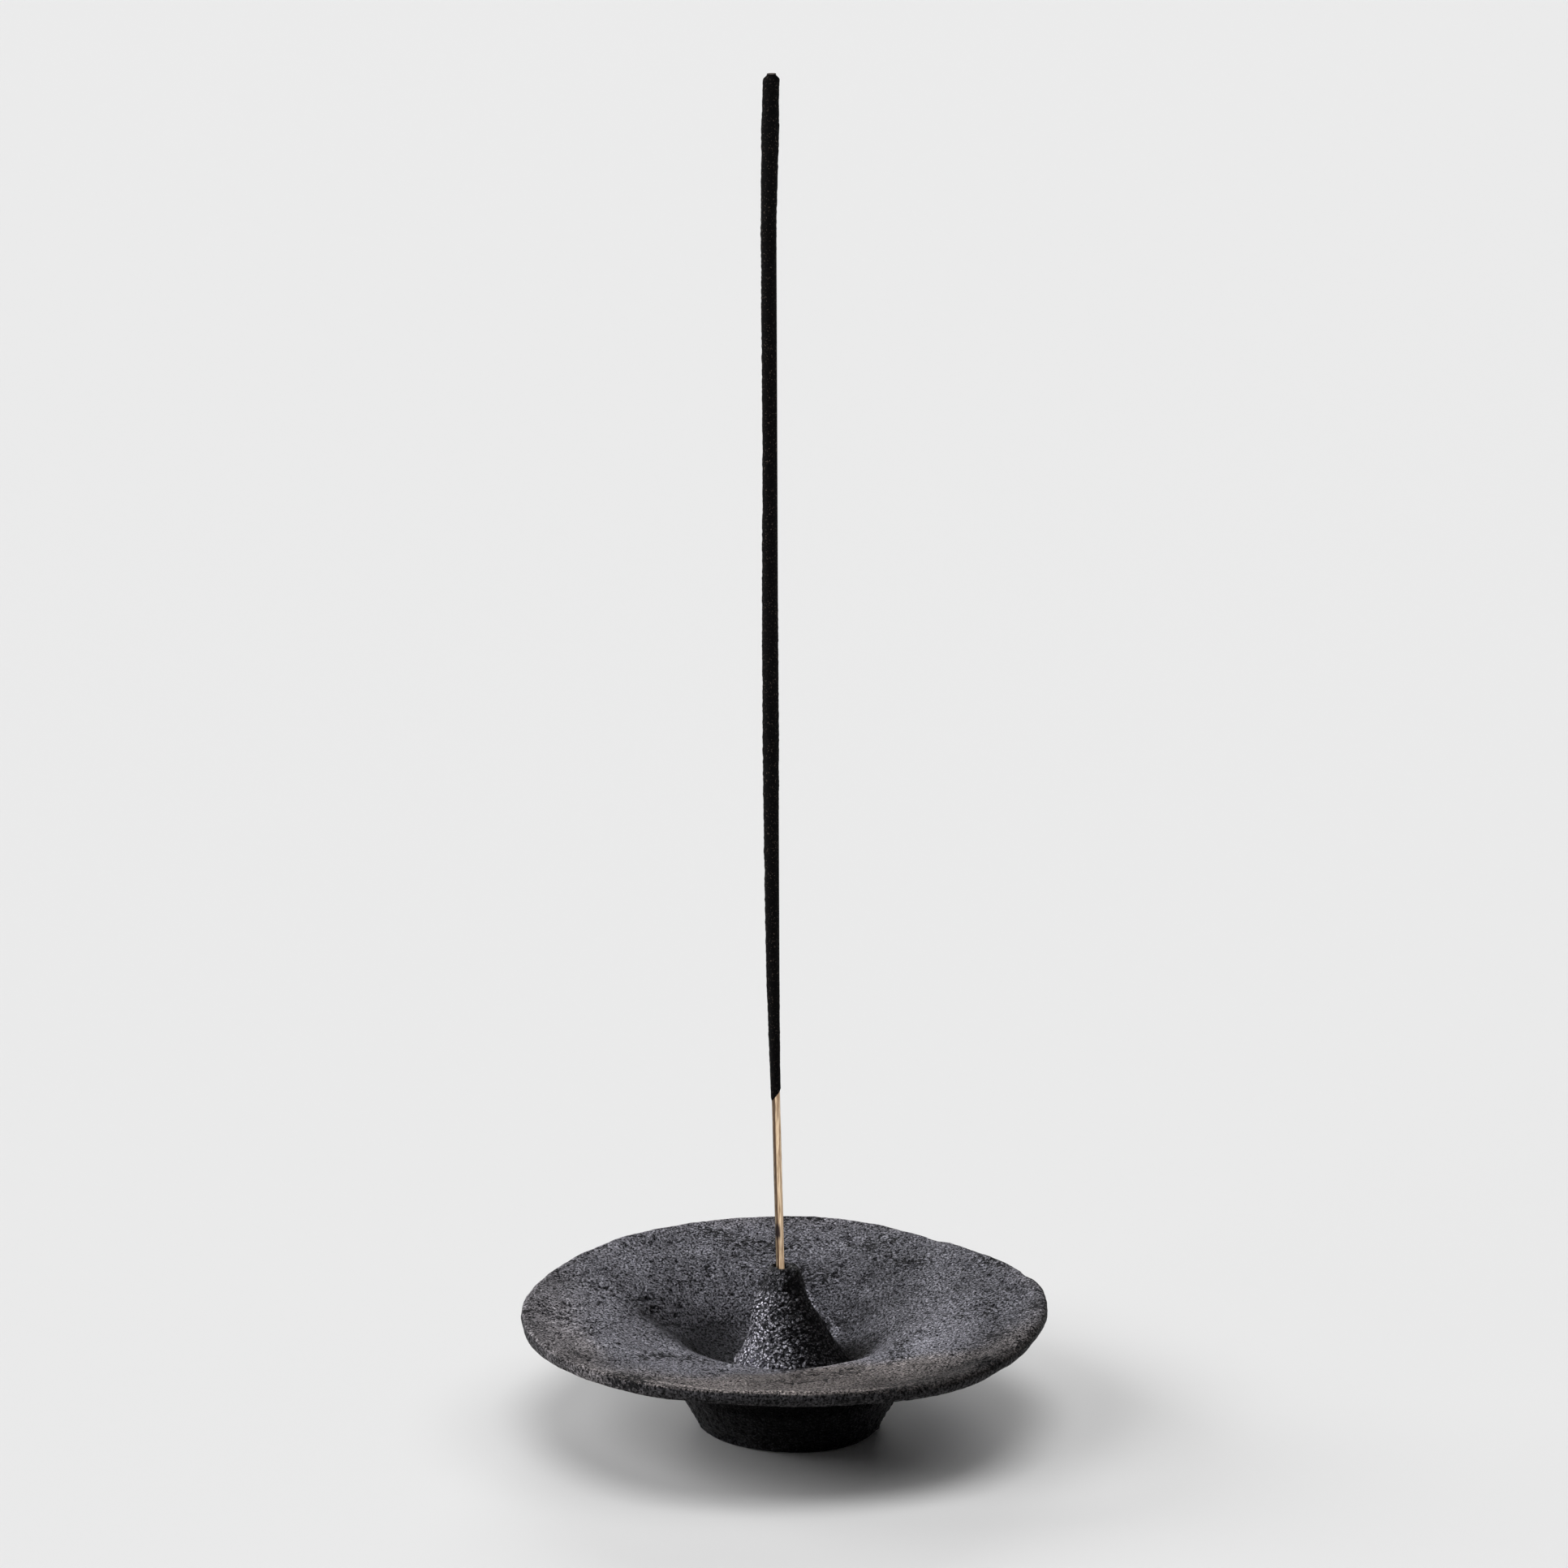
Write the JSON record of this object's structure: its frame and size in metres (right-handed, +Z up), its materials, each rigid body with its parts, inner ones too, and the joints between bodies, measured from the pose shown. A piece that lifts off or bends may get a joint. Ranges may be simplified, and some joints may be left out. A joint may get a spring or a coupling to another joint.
{
  "type": "incense burner",
  "caption": "Hand-built dark clay saucer on a short tapering foot, with a sunken well and a central cone that holds an upright incense stick.",
  "frame": {"origin": "on the table under the saucer's axis, on the foot's flat resting face", "axes": "+Z up along the upright stick, +X to the right and -Y to the front of the burner"},
  "size_m": [0.0929, 0.0927, 0.2413],
  "materials": {
    "saucer_clay": "unglazed smoke-blackened clay, dry and matte, with fine grain, pits and a brownish bloom near the rim",
    "cone_clay": "unglazed smoke-blackened clay, coarse and pebbled with a slight sheen",
    "foot_clay": "unglazed smoke-blackened clay, rough and nearly black",
    "bamboo": "raw split bamboo with fine long fibres",
    "incense_paste": "dried charcoal and wood powder paste, matte and granular"
  },
  "bodies": {
    "burner": {"dish": "saucer_clay", "foot": "foot_clay", "foot_luting_coil": "foot_clay", "stick_cone": "cone_clay", "cone_luting_coil": "cone_clay"},
    "stick": {"bamboo_core": "bamboo", "incense_paste": "incense_paste"}
  },
  "joints": [
    {"name": "stick_lift", "type": "slide", "parent": "burner", "child": "stick", "axis": [-0.0244, 0, 0.9997], "range_m": [0, 0.03]}
  ]
}
